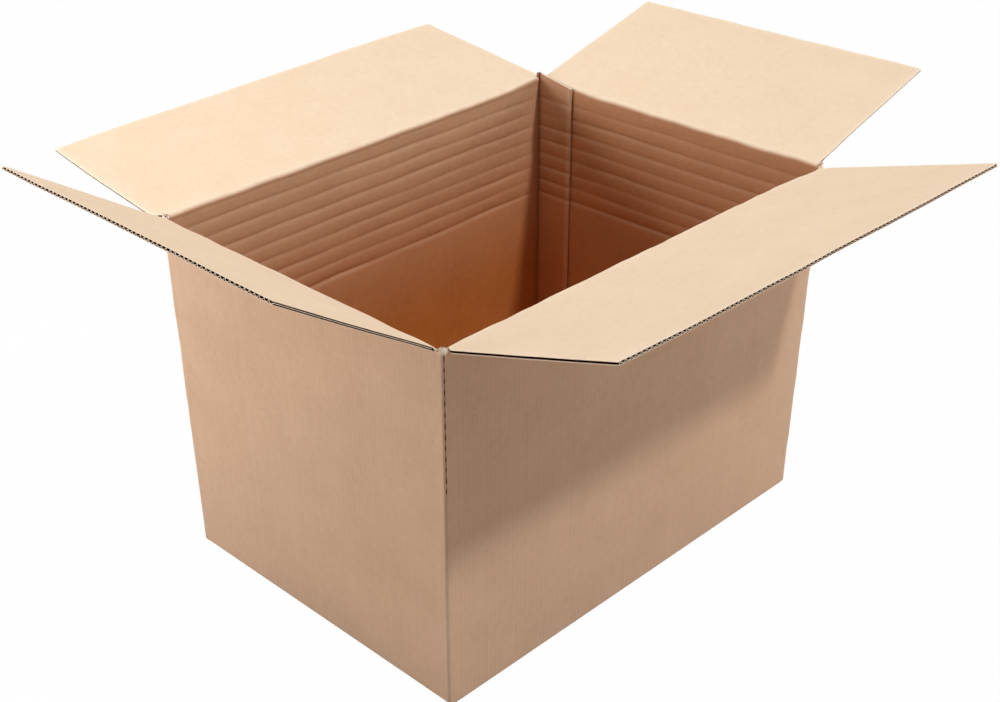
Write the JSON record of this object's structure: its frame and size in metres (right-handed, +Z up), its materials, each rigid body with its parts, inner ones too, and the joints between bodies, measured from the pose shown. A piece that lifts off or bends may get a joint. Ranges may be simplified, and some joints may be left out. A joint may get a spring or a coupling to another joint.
{
  "type": "open cardboard box",
  "caption": "Open folded cardboard box with hinged top flaps, inner score lines and perforated corners for cutting it down to a lower height.",
  "frame": {"origin": "centre of the underside, where the two long bottom flaps meet", "axes": "+Z up, out of the open top; +X along the long walls towards the glued end; -Y towards the front"},
  "size_m": [0.5095, 0.4348, 0.2778],
  "materials": {
    "kraft_board": "matte brown kraft liner"
  },
  "bodies": {
    "carton": {"carton_body": "kraft_board"},
    "back_flap": {"back_flap": "kraft_board"},
    "left_flap": {"left_flap": "kraft_board"},
    "front_flap": {"front_flap": "kraft_board"},
    "right_flap": {"right_flap": "kraft_board"}
  },
  "joints": [
    {"name": "back_flap_fold", "type": "hinge", "parent": "carton", "child": "back_flap", "pos_m": [0, 0.11045, 0.22035], "axis": [1, 0, 0], "range_deg": [-53.5, 171.5]},
    {"name": "left_flap_fold", "type": "hinge", "parent": "carton", "child": "left_flap", "pos_m": [-0.15485, 0, 0.21925], "axis": [0, 1, 0], "range_deg": [-76.5, 148.5]},
    {"name": "front_flap_fold", "type": "hinge", "parent": "carton", "child": "front_flap", "pos_m": [0, -0.11045, 0.22035], "axis": [-1, 0, 0], "range_deg": [-63, 162]},
    {"name": "right_flap_fold", "type": "hinge", "parent": "carton", "child": "right_flap", "pos_m": [0.15485, 0, 0.21925], "axis": [0, -1, 0], "range_deg": [-61, 164]}
  ]
}
